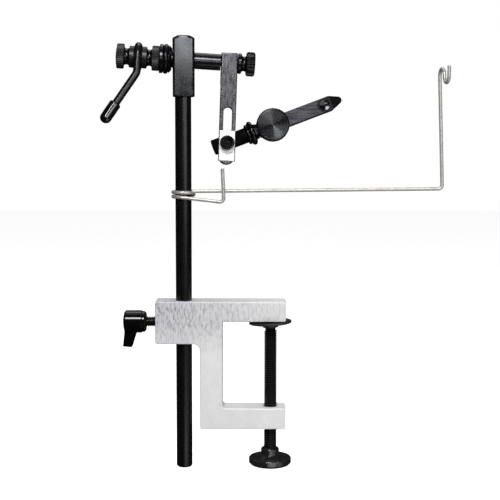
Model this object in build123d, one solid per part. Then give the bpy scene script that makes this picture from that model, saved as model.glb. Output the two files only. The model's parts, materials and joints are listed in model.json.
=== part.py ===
"""Rotary fly tying vise on a C-clamp, as separate pieces in millimetres.

The frame: +Z is up, +X runs from the crank handle to the jaws, -Y is the side that faces the tyer.
The origin is on the clamp screw's axis, at the underside of the clamp's upper arm.
"""
import math
import os
from build123d import *

# Clearances, and how far a cut runs past the face it starts from
running_gap = 0.05
face_gap = 0.05
seat_gap = 0.02
bend_gap = 0.3
overrun = 2.0

# Post: plain 3/8 in bar, carried in the clamp and in the head
post_d = 9.525
post_x = -51.6
post_bottom_z = -89.5
post_end_chamfer = 0.9
post_mark_rise = 9.3
post_mark_width = 0.8
post_mark_depth = 0.2

# Clamp frame: one bar of aluminium sawn and milled to a C with a block for the post
clamp_depth = 15.9
upper_arm_thick = 12.0
throat_height = 52.1
lower_arm_thick = 12.7
block_height = 25.4
block_left = 16.7
arm_overhang = 9.1
spine_offset = 9.75
spine_width = 13.3
block_fillet = 4.0
throat_fillet = 2.0
clamp_corner = 1.2
clamp_edge = 0.4

# Clamp screw, 5/16 in with 18 threads to the inch, and what is on its two ends
clamp_thread_d = 7.94
clamp_thread_pitch = 1.411
clamp_thread_depth = 0.8
clamp_spigot_d = 6.4
pad_d = 25.4
pad_rim = 1.0
pad_height = 3.5
pad_cone_drop = 2.2
pad_boss_d = 9.2
pad_tilt = 3.0
pad_top_gap = 0.75
ball_d = 3.2
ball_drop = 2.1
ball_neck_d = 1.7
ball_neck_depth = 6.0
pad_screw_gap = 0.5
knob_d = 25.4
knob_rim = 4.6
knob_bottom_z = -88.0
knob_chamfer = 1.2
knob_lip = 1.6
knob_dish = 1.1
knob_hub_d = 10.8
knob_hub_height = 5.6
knob_hub_foot = 1.5
knob_spigot_depth = 7.0

# Post lock: quarter inch screw with a moulded lever
lock_z = -1.0
lock_thread_d = 6.35
lock_thread_pitch = 1.27
lock_thread_depth = 0.7
lock_shown = 5.8
lock_spigot_d = 4.9
lock_collar_d = 12.4
lock_collar_length = 2.2
lock_barrel_d = 13.4
lock_barrel_length = 11.6
lock_dome = 0.8
lock_edge = 1.0
wing_thick = 5.0
wing_root = 7.2
wing_tip = 5.4
wing_reach = 8.0
wing_lean = 12.5
wing_edge = 1.0

# Head: square bar with turned ends, on top of the post
head_width = 12.8
head_bottom_z = 131.9
head_height = 35.6
head_edge = 1.3
head_cone_angle = 28.0
head_top_land_d = 7.6
head_bottom_land_d = 11.4
head_socket_depth = 14.0
head_screw_d = 4.0
head_screw_rise = 7.0
head_screw_sink = 0.6
head_key_across = 2.0
head_key_depth = 2.0

# Rotor: the shaft through the head, which slopes a little down towards the jaws
shaft_z = 153.35
shaft_tilt = 3.4
head_turn = 3.0
head_shift = 0.4
rotor_turn = -9.0
shaft_d = 9.525
journal_d = 7.94
bush_wall = 0.8
bush_stand = 0.45
shaft_end_x = 21.6
tail_d = 6.35
tail_sink = 2.0

# Friction stack on the shaft's tail, from the head outwards
thrust_d = 16.0
thrust_length = 1.9
thrust_taper = 1.6
drag_ring_d = 17.3
drag_ring_width = 3.1
pressure_d = 16.7
pressure_length = 2.2
disc_edge = 0.3

# Knurled spool nuts on the shaft's tail
nut_head_d = 14.5
nut_head_length = 4.2
nut_neck_d = 9.3
nut_neck_length = 3.0
nut_flange_d = 12.6
nut_flange_length = 2.8
nut_ridges = 40
nut_ridge_depth = 0.35
nut_edge = 0.4
nut_dome = 0.7

# Crank handle: bent 4.3 mm rod with an eye round the tail and a capped end
rod_d = 4.5
eye_radius = 6.35
eye_sweep = 285.0
crank_drop = 10.3
crank_bend = 6.0
crank_angle = 59.2
crank_reach = 31.5
grip_d = 6.8
grip_length = 13.6
grip_lip = 0.6

# Jaw arm: slotted bar across the shaft's end
arm_width = 9.525
arm_depth = 9.5
arm_top = 5.1
arm_drop = 60.0
arm_lean = -1.2
arm_leg_thick = 3.5
arm_step_drop = 12.0
arm_step_fillet = 3.0
arm_edge = 0.35
slot_width = 5.0
slot_length = 29.2
slot_end_wall = 4.2
slot_bottom_drop = arm_drop - slot_end_wall
slot_top_drop = slot_bottom_drop - slot_length

# Thumb screw that holds the arm on the shaft
thumb_head_d = 14.2
thumb_head_length = 5.1
thumb_neck_d = 8.5
thumb_neck_length = 2.7
thumb_flange_d = 11.9
thumb_flange_length = 2.1
thumb_ridges = 22
thumb_ridge_depth = 0.7
thumb_edge = 0.8
thumb_stud_d = 4.83
thumb_stud_depth = 10.0
thumb_seat = 0.3

# Slide plate and pivot screw
plate_width = 9.8
plate_length = 17.8
plate_thick = 1.2
plate_edge = 0.25
plate_above_pivot = 7.6
plate_key_height = 1.5
plate_key_length = 5.6
pivot_above_end = 11.9
pivot_drop = arm_drop - pivot_above_end
pivot_head_d = 8.4
pivot_head_length = 4.8
pivot_head_edge = 0.6
pivot_key_across = 4.8
pivot_key_depth = 2.6
pivot_shank_d = 4.2
pivot_shank_end = 0.8

# Jaw stem and its collar; the jaws rise from the arm by jaw_rise
jaw_rise = 23.1
jaw_offset = 1.35
jaw_stem_d = 9.0
jaw_stem_tail = 7.8
jaw_stem_flat = 1.3
jaw_flat_length = 9.4
jaw_stem_edge = 0.3
collar_start = 13.2
collar_bead = 3.0
collar_d = 14.2
collar_back_d = 11.8
collar_back_bead = 1.8
collar_groove_d = 10.4
fork_end = 20.0
fork_slot = 4.1
hinge_at = 17.6
hinge_d = 2.0
hinge_eye_d = 4.6

# Jaw bars, tips and their screws
bar_height = 8.5
bar_thick = 3.0
bar_gap = 0.4
bar_start = 20.6
bar_edge = 0.3
tip_screw_at = 62.1
tip_end = 73.0
tip_taper = 21.5
tip_nose_radius = 2.1
tip_tongue_d = 7.6
tip_nose_thick = 1.3
tip_face_gap = 0.03
tip_screw_d = 6.2
tip_screw_head = 1.1
tip_screw_cone = 0.7
tip_shank_d = 3.0

# Jaw wheel: disc that closes the jaws by its screw
wheel_at = 28.9
wheel_drop = 0.65
wheel_d = 19.2
wheel_thick = 4.6
wheel_edge = 0.7
wheel_land = 1.1
wheel_dish = 0.5
wheel_stand = 1.6
wheel_hub_d = 9.0
wheel_screw_d = 4.8
wheel_screw_slack = 0.4
spring_d = 8.0
spring_wall = 0.9
spring_height = 1.0
spring_sink = 0.9

# Bobbin cradle: one bent wire, coiled on the post
wire_d = 2.1
coil_start_z = 76.35
coil_step = 2.6
coil_step_share = 0.5
coil_exit_drop = 0.3
coil_exit_slope = 0.115
coil_quarters = 6
short_leg_run = 24.1
short_leg_height = 19.7
short_leg_lean = 0.8
wire_bend = 2.3
long_run = 153.6
long_run_end_z = 78.2
upright_lean = 2.65
hook_z = 144.6
hook_radius = 4.1
hook_way = -80.2
hook_end_rise = 5.5
gap_steps = 400

# Shares
nut_neck_arc_share = 0.35
knob_dish_share = 0.62

# Places that follow from the sizes above
post_r = post_d / 2
clamp_left_x = post_x - block_left
spine_left_x = post_x + spine_offset
spine_right_x = spine_left_x + spine_width
block_bottom_z = upper_arm_thick - block_height
throat_bottom_z = -throat_height
clamp_bottom_z = throat_bottom_z - lower_arm_thick
head_top_z = head_bottom_z + head_height
head_half = head_width / 2
bar_half = bar_gap / 2
bar_face = bar_half + bar_thick
wheel_back = bar_face + wheel_stand
coil_radius = post_r + bend_gap + wire_d / 2

# Frames: the rotor turns on its own X, the jaw arm hangs along its own -Z, the jaws point along their own +X
head_frame = Location((post_x, 0, 0)) * Rot(0, 0, head_turn) * Pos(head_shift, 0, 0)
rotor_frame = head_frame * Pos(0, 0, shaft_z) * Rot(0, shaft_tilt, 0) * Rot(rotor_turn, 0, 0)
shaft_frame = rotor_frame * Rot(0, 90, 0)
arm_frame = rotor_frame * Pos(shaft_end_x + thumb_seat + arm_width / 2, 0, 0) * Rot(0, arm_lean, 0)
arm_front = -arm_depth / 2
leg_back = arm_front + arm_leg_thick
jaw_depth = leg_back + face_gap + jaw_stem_d / 2 - jaw_stem_flat
jaw_pivot = arm_frame * Pos(0, jaw_depth, -pivot_drop)
jaw_frame = jaw_pivot * Rot(0, -jaw_rise, 0) * Pos(0, 0, jaw_offset)

parts = {}


def turned(*points):
    """Solid of revolution about Z, from (radius, height) points; a list of two is an arc, through one to the next."""
    def at(point):
        return Vector(point[0], 0, point[1])

    edges = []
    here = points[0]
    for step in points[1:] + (points[0],):
        if isinstance(step, list):
            through, there = step
            edges.append(ThreePointArc(at(here), at(through), at(there)))
            here = there
        elif step != here:
            edges.append(Line(at(here), at(step)))
            here = step
    return revolve(make_face(edges), Axis.Z)


def dome(radius, foot, top):
    """Step of a turned outline: a round cap from its rim at height foot to the axis at height top."""
    rise = top - foot
    ball = (radius ** 2 + rise ** 2) / (2 * rise)
    half_turn = math.asin(radius / abs(ball)) / 2
    return [(abs(ball) * math.sin(half_turn), top - ball + ball * math.cos(half_turn)), (0, top)]


def rod(radius, low, high):
    """Round bar along Z between two heights."""
    return Pos(0, 0, (low + high) / 2) * Cylinder(radius, high - low)


def bevelled_rod(radius, low, high, edge):
    """Round bar along Z between two heights, with both rims chamfered."""
    inner, first, last = radius - edge, low + edge, high - edge
    return turned((0, low), (inner, low), (radius, first), (radius, last), (inner, high), (0, high))


def ridged_rod(major_d, pitch, depth, low, high):
    """Threaded bar along Z, with its thread as a row of V ridges."""
    crest, root = major_d / 2, major_d / 2 - depth
    count = int((high - low) / pitch)
    points = [(0, low), (root, low)]
    for turn in range(count):
        points += [(crest, low + (turn + 1 / 2) * pitch), (root, low + (turn + 1) * pitch)]
    points += [(root, high), (0, high)]
    return turned(*points)


def corner_arc(before, corner, after, radius):
    """Ends of the arc of the given radius that rounds one corner of a route, and its way in."""
    way_in = (corner - before).normalized()
    way_out = (after - corner).normalized()
    turn = math.radians(way_in.get_angle(way_out))
    back = radius * math.tan(turn / 2)
    return corner - way_in * back, corner + way_out * back, way_in


def route(points, radii):
    """Straight runs between points, with each inner corner rounded to its radius."""
    points = [Vector(*point) for point in points]
    edges = []
    here = points[0]
    for place, radius in enumerate(radii, 1):
        start, end, way = corner_arc(points[place - 1], points[place], points[place + 1], radius)
        edges += [Line(here, start), TangentArc(start, end, tangent=way)]
        here = end
    return edges + [Line(here, points[-1])]


def closed_outline(corners):
    """Face in the XZ plane from corners given as (x, z, radius)."""
    count = len(corners)
    points = [Vector(x, 0, z) for x, z, radius in corners]
    arcs = []
    for place, (x, z, radius) in enumerate(corners):
        before, here, after = points[place - 1], points[place], points[(place + 1) % count]
        arcs.append(corner_arc(before, here, after, radius) if radius else (here, here, None))
    edges = []
    for place in range(count):
        start, end, way = arcs[place]
        if way is not None:
            edges.append(TangentArc(start, end, tangent=way))
        edges.append(Line(end, arcs[(place + 1) % count][0]))
    return make_face(edges)


def slab(face, low_y, high_y):
    """Solid of an XZ face between two depths."""
    return Pos(0, low_y, 0) * extrude(face, high_y - low_y, dir=(0, 1, 0))


def ridged_disc(diameter, length, count, depth, edge):
    """Knurled disc along Z from 0, with straight V ridges and chamfered rims."""
    points = []
    for place in range(2 * count):
        radius = diameter / 2 - depth * (place % 2)
        angle = math.pi * place / count
        points.append((radius * math.cos(angle), radius * math.sin(angle)))
    star = extrude(make_face(Polyline(*points, close=True)), length)
    return star & bevelled_rod(diameter / 2, 0, length, edge)


def hex_cut(across, depth):
    """Prism for a hexagon socket, sunk from Z = 0 downwards."""
    return extrude(RegularPolygon(across / 2, 6, major_radius=False), -depth)


def spool(head_d, head_length, neck_d, neck_length, flange_d, flange_length, ridges, ridge_depth, edge):
    """Flange from 0, waisted neck and knurled head along +Z."""
    neck, flange = neck_d / 2, flange_d / 2
    neck_end = flange_length + neck_length
    shoulder = neck + nut_neck_arc_share * (flange - neck)
    waist = turned(
        (0, 0),
        (flange - edge / 2, 0),
        (flange, edge / 2),
        (flange, flange_length - edge / 2),
        (flange - edge / 2, flange_length),
        (shoulder, flange_length),
        [(neck, flange_length + neck_length / 2), (shoulder, neck_end)],
        (0, neck_end),
    )
    return waist + Pos(0, 0, neck_end) * ridged_disc(head_d, head_length, ridges, ridge_depth, edge)


# Clamp
def clamp_frame():
    face = closed_outline([
        (clamp_left_x, upper_arm_thick, clamp_corner),
        (arm_overhang, upper_arm_thick, clamp_corner),
        (arm_overhang, 0, clamp_corner),
        (spine_right_x, 0, 0),
        (spine_right_x, throat_bottom_z, throat_fillet),
        (arm_overhang, throat_bottom_z, clamp_corner),
        (arm_overhang, clamp_bottom_z, clamp_corner),
        (spine_left_x, clamp_bottom_z, clamp_corner),
        (spine_left_x, block_bottom_z, block_fillet),
        (clamp_left_x, block_bottom_z, clamp_corner),
    ])
    body = slab(face, -clamp_depth / 2, clamp_depth / 2)
    sides = body.faces().filter_by(Axis.Y)
    body = chamfer(sides.edges(), clamp_edge)
    body -= Pos(post_x, 0, 0) * rod(post_r + running_gap, block_bottom_z - overrun, upper_arm_thick + overrun)
    body -= rod(clamp_thread_d / 2 + running_gap, clamp_bottom_z - overrun, throat_bottom_z + overrun)
    lock_bore = rod(lock_thread_d / 2 + running_gap, clamp_left_x - overrun, post_x)
    return body - Pos(0, 0, lock_z) * Rot(0, 90, 0) * lock_bore


pad_top_z = -pad_top_gap
ball_z = pad_top_z - ball_drop
screw_top_z = pad_top_z - pad_height - pad_screw_gap
knob_top_z = knob_bottom_z + knob_rim + knob_hub_height
spigot_end_z = knob_top_z - knob_spigot_depth


def clamp_pad():
    rim, boss = pad_d / 2, pad_boss_d / 2
    foot = -pad_height
    pad = turned((0, 0), (rim, 0), (rim, -pad_rim), (boss, -pad_cone_drop), (boss, foot), (0, foot))
    pad = Pos(0, 0, ball_drop) * pad
    pad -= Sphere(ball_d / 2 + running_gap)
    mouth = (ball_d + ball_neck_d) / 4
    pad -= rod(mouth, ball_drop - pad_height - overrun, 0)
    return Pos(0, 0, ball_z) * Rot(0, -pad_tilt, 0) * pad


def swivel_stud():
    ball = Sphere(ball_d / 2) + rod(ball_neck_d / 2, screw_top_z - ball_neck_depth - ball_z, 0)
    return Pos(0, 0, ball_z) * ball


def clamp_screw():
    screw = ridged_rod(clamp_thread_d, clamp_thread_pitch, clamp_thread_depth, knob_top_z, screw_top_z)
    screw += rod(clamp_spigot_d / 2, spigot_end_z, knob_top_z)
    bore_end = screw_top_z - ball_neck_depth - face_gap
    return screw - rod(ball_neck_d / 2 + running_gap, bore_end, screw_top_z + overrun)


def clamp_knob():
    r, hub = knob_d / 2, knob_hub_d / 2
    dish_z = knob_bottom_z + knob_rim - knob_dish
    rim_z = knob_bottom_z + knob_rim
    knob = turned(
        (0, knob_bottom_z),
        (r - knob_chamfer, knob_bottom_z),
        (r, knob_bottom_z + knob_chamfer),
        (r, rim_z - knob_chamfer / 2),
        (r - knob_chamfer / 2, rim_z),
        (r - knob_lip, rim_z),
        [(hub + knob_dish_share * (r - knob_lip - hub), dish_z), (hub + knob_hub_foot, rim_z)],
        (hub, rim_z + knob_hub_foot),
        (hub, knob_top_z - knob_chamfer / 2),
        (hub - knob_chamfer / 2, knob_top_z),
        (0, knob_top_z),
    )
    return knob - rod(clamp_spigot_d / 2 + seat_gap, spigot_end_z, knob_top_z + overrun)


# Post lock
lock_frame = Location((clamp_left_x, 0, lock_z)) * Rot(0, -90, 0)
lock_tip = -(block_left - post_r - face_gap)


def lock_screw():
    thread = ridged_rod(lock_thread_d, lock_thread_pitch, lock_thread_depth, lock_tip, lock_shown)
    spigot = rod(lock_spigot_d / 2, lock_shown, lock_shown + lock_collar_length + lock_barrel_length / 2)
    return lock_frame * (thread + spigot)


def lock_lever():
    barrel, collar = lock_barrel_d / 2, lock_collar_d / 2
    shoulder = lock_shown + lock_collar_length
    end = shoulder + lock_barrel_length
    hub = turned(
        (0, lock_shown),
        (collar - lock_edge, lock_shown),
        (collar, lock_shown + lock_edge),
        (collar, shoulder),
        (barrel - lock_edge / 2, shoulder),
        (barrel, shoulder + lock_edge / 2),
        (barrel, end - lock_dome - lock_edge),
        (barrel - lock_edge, end - lock_dome),
        dome(barrel - lock_edge, end - lock_dome, end),
    )
    root_at = end - lock_dome - wing_root / 2
    slope = math.tan(math.radians(wing_lean))
    tip_x = -(barrel + wing_reach)
    tip_at = root_at + wing_reach * slope
    wing = make_face(Polyline(
        (0, root_at - wing_root / 2),
        (0, root_at + wing_root / 2),
        (-barrel, root_at + wing_root / 2),
        (tip_x, tip_at + wing_tip / 2),
        (tip_x - wing_tip / 2 * slope, tip_at - wing_tip / 2),
        (-barrel, root_at - wing_root / 2),
        close=True,
    ))
    wing = extrude(Rot(90, 0, 0) * wing, wing_thick / 2, both=True)
    wing = fillet(wing.edges().group_by(Axis.X)[0], wing_edge)
    bore_end = shoulder + lock_barrel_length / 2 + seat_gap
    return lock_frame * (hub + wing - rod(lock_spigot_d / 2 + seat_gap, lock_shown - overrun, bore_end))


# Post and head
def post():
    top = head_bottom_z + head_socket_depth - face_gap
    mark = post_bottom_z + post_mark_rise
    bar = turned(
        (0, post_bottom_z),
        (post_r - post_end_chamfer, post_bottom_z),
        (post_r, post_bottom_z + post_end_chamfer),
        (post_r, mark - post_mark_width / 2),
        (post_r - post_mark_depth, mark),
        (post_r, mark + post_mark_width / 2),
        (post_r, top - post_end_chamfer),
        (post_r - post_end_chamfer, top),
        (0, top),
    )
    return Pos(post_x, 0, 0) * bar


bush_r = journal_d / 2 + running_gap + bush_wall
bush_reach = head_half + bush_stand
head_screw_z = head_bottom_z + head_screw_rise


def head_block():
    bar = Pos(0, 0, (head_bottom_z + head_top_z) / 2) * Box(head_width, head_width, head_height)
    bar = chamfer(bar.edges().filter_by(Axis.Z), head_edge)
    slope = math.tan(math.radians(head_cone_angle))
    reach = head_width
    top_land, bottom_land = head_top_land_d / 2, head_bottom_land_d / 2
    bar &= turned(
        (0, head_bottom_z),
        (bottom_land, head_bottom_z),
        (reach, head_bottom_z + (reach - bottom_land) * slope),
        (reach, head_top_z - (reach - top_land) * slope),
        (top_land, head_top_z),
        (0, head_top_z),
    )
    socket = rod(post_r + running_gap, head_bottom_z - overrun, head_bottom_z + head_socket_depth)
    socket += Pos(0, 0, head_screw_z) * Rot(-90, 0, 0) * rod(head_screw_d / 2, 0, head_half + overrun)
    bar -= Pos(-head_shift, 0, 0) * socket
    return head_frame * bar - shaft_frame * rod(bush_r, -head_width, head_width)


def head_set_screw():
    end = head_half - head_screw_sink
    screw = rod(head_screw_d / 2 - seat_gap, post_r + face_gap, end)
    screw -= Pos(0, 0, end) * hex_cut(head_key_across, head_key_depth)
    return head_frame * Pos(-head_shift, 0, head_screw_z) * Rot(-90, 0, 0) * screw


# Rotor, written along the shaft's axis from the post's axis at zero, jaws at plus
def shaft_bushing():
    sleeve = rod(bush_r - seat_gap, -bush_reach, bush_reach)
    bore_end = bush_reach + overrun
    return shaft_frame * (sleeve - rod(journal_d / 2 + running_gap, -bore_end, bore_end))


thrust_end = -bush_reach - face_gap
thrust_start = thrust_end - thrust_length
ring_start = thrust_start - drag_ring_width
pressure_start = ring_start - pressure_length
nut_length = nut_head_length + nut_neck_length + nut_flange_length
drag_nut_end = pressure_start - face_gap
drag_nut_start = drag_nut_end - nut_length
eye_space = rod_d + 2 * face_gap
eye_at = drag_nut_start - eye_space / 2
handle_nut_end = drag_nut_start - eye_space
handle_nut_start = handle_nut_end - nut_length
tail_end = handle_nut_start + tail_sink
shoulder_at = bush_reach + face_gap
tail_r = tail_d / 2
nut_bore = tail_r + running_gap
ring_r = drag_ring_width / 2
ring_seat = drag_ring_d / 2 - drag_ring_width


def rotor_shaft():
    shaft = rod(journal_d / 2, thrust_end, shoulder_at) + rod(shaft_d / 2, shoulder_at, shaft_end_x)
    shaft += rod(tail_r, tail_end, thrust_end)
    socket = rod(thumb_stud_d / 2 + running_gap, shaft_end_x - thumb_stud_depth, shaft_end_x + overrun)
    return shaft_frame * (shaft - socket)


def thrust_disc():
    r = thrust_d / 2
    disc = turned(
        (tail_r + seat_gap, thrust_start),
        (r - disc_edge, thrust_start),
        (r, thrust_start + disc_edge),
        (r - thrust_taper, thrust_end),
        (tail_r + seat_gap, thrust_end),
    )
    return shaft_frame * disc


def drag_ring():
    return shaft_frame * Pos(0, 0, ring_start + ring_r) * Torus(drag_ring_d / 2 - ring_r, ring_r - seat_gap)


def pressure_disc():
    r, bore, hub = pressure_d / 2, tail_r + seat_gap, ring_seat
    disc = turned(
        (bore, pressure_start),
        (r - disc_edge, pressure_start),
        (r, pressure_start + disc_edge),
        (r, ring_start - disc_edge),
        (r - disc_edge, ring_start),
        (hub, ring_start),
        (hub, thrust_start - face_gap),
        (bore, thrust_start - face_gap),
    )
    return shaft_frame * disc


def knurled_nut():
    return spool(nut_head_d, nut_head_length, nut_neck_d, nut_neck_length, nut_flange_d, nut_flange_length,
                 nut_ridges, nut_ridge_depth, nut_edge)


def drag_nut():
    nut = Pos(0, 0, drag_nut_start) * knurled_nut()
    return shaft_frame * (nut - rod(nut_bore, drag_nut_start - overrun, drag_nut_end + overrun))


def handle_nut():
    nut = Rot(180, 0, 0) * knurled_nut()
    r = nut_head_d / 2 - nut_ridge_depth - nut_edge
    nut += turned((0, -nut_length), (r, -nut_length), dome(r, -nut_length, -nut_length - nut_dome))
    nut = Pos(0, 0, handle_nut_end) * nut
    return shaft_frame * (nut - rod(nut_bore, tail_end - face_gap, handle_nut_end + overrun))


def crank_path():
    """Line of the bent rod: round the eye, down the front and out to the side, in the rotor's frame."""
    def on_eye(turn):
        angle = math.radians(turn)
        return Vector(eye_at, -eye_radius * math.cos(angle), eye_radius * math.sin(angle))

    eye = ThreePointArc(on_eye(eye_sweep), on_eye(eye_sweep / 2), on_eye(0))
    slope = math.radians(crank_angle)
    corner = on_eye(0) - Vector(0, 0, crank_drop)
    end = corner + Vector(-math.cos(slope), 0, -math.sin(slope)) * crank_reach
    return Wire([eye] + route([on_eye(0), corner, end], [crank_bend]))


def along(path, place=0):
    """Plane across a path at a share of its length, facing along it."""
    return Plane(path @ place, z_dir=path % place)


def crank_handle():
    path = crank_path()
    return rotor_frame * sweep(along(path) * Circle(rod_d / 2), path=path)


def handle_grip():
    r, bore = grip_d / 2, rod_d / 2 + seat_gap
    overlap = grip_length - r
    grip = turned(
        (0, seat_gap),
        (bore, seat_gap),
        (bore, -overlap),
        (r - grip_lip, -overlap),
        (r, -overlap + grip_lip),
        (r, 0),
        dome(r, 0, r),
    )
    return rotor_frame * along(crank_path(), 1).location * grip


# Jaw arm and what is on it, written in the arm's frame with the shaft's axis at zero
def arm_hole(radius):
    shaft_in_arm = arm_frame.inverse() * shaft_frame
    return shaft_in_arm * rod(radius, shaft_end_x - overrun, shaft_end_x + arm_width + 2 * overrun)


def jaw_arm():
    half, round_r = arm_width / 2, arm_width / 2
    outline = make_face([
        Line((-half, 0, arm_top), (half, 0, arm_top)),
        Line((half, 0, arm_top), (half, 0, round_r - arm_drop)),
        ThreePointArc((half, 0, round_r - arm_drop), (0, 0, -arm_drop), (-half, 0, round_r - arm_drop)),
        Line((-half, 0, round_r - arm_drop), (-half, 0, arm_top)),
    ])
    bar = chamfer(slab(outline, arm_front, -arm_front).faces().filter_by(Axis.Y).edges(), arm_edge)
    step = closed_outline_yz([
        (leg_back, -arm_step_drop, arm_step_fillet),
        (-arm_front + overrun, -arm_step_drop, 0),
        (-arm_front + overrun, -arm_drop - overrun, 0),
        (leg_back, -arm_drop - overrun, 0),
    ])
    bar -= extrude(step, arm_width, both=True)
    slot_r = slot_width / 2
    slot_length = slot_bottom_drop - slot_top_drop
    slot = Pos(0, 0, -(slot_top_drop + slot_bottom_drop) / 2) * Rot(90, 0, 0) * Rot(0, 0, 90)
    bar -= extrude(slot * SlotOverall(slot_length, 2 * slot_r), arm_depth, both=True)
    return arm_frame * (bar - arm_hole(thumb_stud_d / 2 + running_gap))


def closed_outline_yz(corners):
    """Face in the YZ plane from corners given as (y, z, radius)."""
    return Rot(0, 0, 90) * closed_outline(corners)


def arm_thumbscrew():
    start = shaft_end_x + 2 * thumb_seat + arm_width
    screw = spool(thumb_head_d, thumb_head_length, thumb_neck_d, thumb_neck_length, thumb_flange_d,
                  thumb_flange_length, thumb_ridges, thumb_ridge_depth, thumb_edge)
    screw = Pos(0, 0, start) * screw
    return shaft_frame * (screw + rod(thumb_stud_d / 2, shaft_end_x - thumb_stud_depth + face_gap, start))


plate_top = plate_above_pivot
plate_bottom = plate_above_pivot - plate_length
pivot_frame = arm_frame * Pos(0, 0, -pivot_drop)
plate_front = arm_front - face_gap - plate_thick


def slide_plate():
    plate = Box(plate_width, plate_thick, plate_length)
    plate = Pos(0, plate_front + plate_thick / 2, (plate_top + plate_bottom) / 2) * plate
    front = plate.faces().sort_by(Axis.Y)[0]
    plate = chamfer(front.edges(), plate_edge)
    key_width = slot_width - 2 * running_gap
    key = Box(key_width, plate_key_height + plate_thick / 2, plate_key_length)
    key_back = arm_front - face_gap + plate_key_height
    plate += Pos(0, key_back - (plate_key_height + plate_thick / 2) / 2, 0) * key
    return pivot_frame * (plate - Rot(90, 0, 0) * rod(pivot_shank_d / 2 + running_gap, -arm_depth, arm_depth))


def pivot_screw():
    seat = -plate_front + face_gap
    top = seat + pivot_head_length
    r = pivot_head_d / 2
    head = turned((0, seat), (r, seat), (r, top - pivot_head_edge), (r - pivot_head_edge, top), (0, top))
    head -= Pos(0, 0, top) * hex_cut(pivot_key_across, pivot_key_depth)
    end = -(jaw_depth + jaw_stem_d / 2 - pivot_shank_end)
    return pivot_frame * Rot(90, 0, 0) * (head + rod(pivot_shank_d / 2, end, seat))


# Jaws, written in the jaw frame: X along the jaws from the pivot, Z up, the parting plane at Y = 0
def along_jaw(solid):
    """Turns a solid made along Z to lie along the jaws' X."""
    return Rot(0, 90, 0) * solid


def jaw_stem():
    r = jaw_stem_d / 2
    stem = along_jaw(bevelled_rod(r, -jaw_stem_tail, fork_end, jaw_stem_edge))
    flat_length = jaw_stem_tail + jaw_flat_length
    flat = Box(flat_length + overrun, jaw_stem_flat + overrun, jaw_stem_d + overrun)
    flat_x = jaw_flat_length - (flat_length + overrun) / 2
    stem -= Pos(flat_x, -r + jaw_stem_flat - (jaw_stem_flat + overrun) / 2, 0) * flat
    pivot_hole = rod(pivot_shank_d / 2 + running_gap, -jaw_stem_d, jaw_stem_d)
    stem -= Pos(0, 0, -jaw_offset) * Rot(90, 0, 0) * pivot_hole
    slot_start = hinge_at - hinge_eye_d / 2 - 2 * face_gap
    slot = Box(fork_end + overrun - slot_start, jaw_stem_d + overrun, fork_slot)
    stem -= Pos((fork_end + overrun + slot_start) / 2, 0, 0) * slot
    stem -= Pos(hinge_at, 0, 0) * rod(hinge_d / 2 + seat_gap, -jaw_stem_d, jaw_stem_d)
    return jaw_frame * stem


def jaw_collar():
    bore, groove = jaw_stem_d / 2 + seat_gap, collar_groove_d / 2
    back, front = collar_back_d / 2, collar_d / 2
    middle = collar_start + collar_back_bead
    end = middle + collar_bead
    collar = turned(
        (bore, collar_start),
        (groove, collar_start),
        [(back, collar_start + collar_back_bead / 2), (groove, middle)],
        [(front, middle + collar_bead / 2), (groove, end)],
        (bore, end),
    )
    return jaw_frame * along_jaw(collar)


def hinge_pin():
    half = math.sqrt((jaw_stem_d / 2) ** 2 - (hinge_d / 2) ** 2) - face_gap
    return jaw_frame * Pos(hinge_at, 0, 0) * rod(hinge_d / 2, -half, half)


def tip_outline(radius, start):
    """Rear round and taper of a jaw tip, as a face in the XZ plane."""
    taper = math.radians(tip_taper)
    nose = tip_nose_radius
    nose_x = tip_end - nose
    touch = Vector(nose_x + nose * math.sin(taper), 0, nose * math.cos(taper))
    knee = touch.X - (radius - touch.Z) / math.tan(taper)
    return make_face([
        ThreePointArc((start, 0, -radius), (start - radius, 0, 0), (start, 0, radius)),
        Line((start, 0, radius), (knee, 0, radius)),
        Line((knee, 0, radius), touch),
        ThreePointArc(touch, (tip_end, 0, 0), (touch.X, 0, -touch.Z)),
        Line((touch.X, 0, -touch.Z), (knee, 0, -radius)),
        Line((knee, 0, -radius), (start, 0, -radius)),
    ])


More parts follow.
